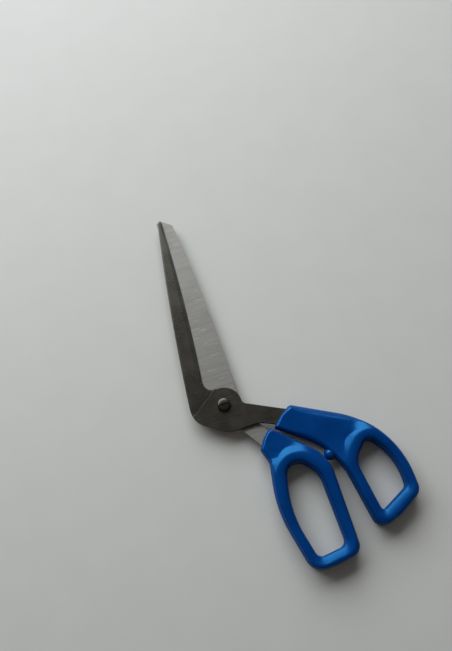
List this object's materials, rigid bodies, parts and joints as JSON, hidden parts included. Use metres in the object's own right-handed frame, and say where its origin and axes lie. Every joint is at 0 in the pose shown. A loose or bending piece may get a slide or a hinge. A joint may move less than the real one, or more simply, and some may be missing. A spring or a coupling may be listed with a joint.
{
  "type": "pizza scissors",
  "caption": "Pizza scissors with a narrow lower blade, a wide blunt upper blade, a slotted pivot screw and offset moulded loop handles with a closing stop.",
  "frame": {"origin": "on the pivot axis, at the flat end of the pivot screw, in the plane that the nut and both handles rest on", "axes": "+Y from the pivot to the blade tips, +Z along the pivot axis towards the screw head, +X to the side where the handles stand off"},
  "size_m": [0.1201, 0.2527, 0.014],
  "materials": {
    "polished_steel": "bright, brushed across the blade",
    "satin_steel": "satin, reflecting a dark room",
    "fastener_steel": "turned, bright",
    "blue_plastic": "semi-gloss moulded"
  },
  "bodies": {
    "upper_half": {"wide_blade": "polished_steel", "finger_handle": "blue_plastic", "pivot_screw": "fastener_steel", "spring_washer": "fastener_steel", "pivot_nut": "fastener_steel"},
    "lower_half": {"narrow_blade": "satin_steel", "thumb_handle": "blue_plastic"}
  },
  "joints": [
    {"name": "blade_pivot", "type": "hinge", "parent": "upper_half", "child": "lower_half", "pos_m": [0, 0, 0.007], "axis": [0, 0, 1], "range_deg": [0, 60]}
  ]
}
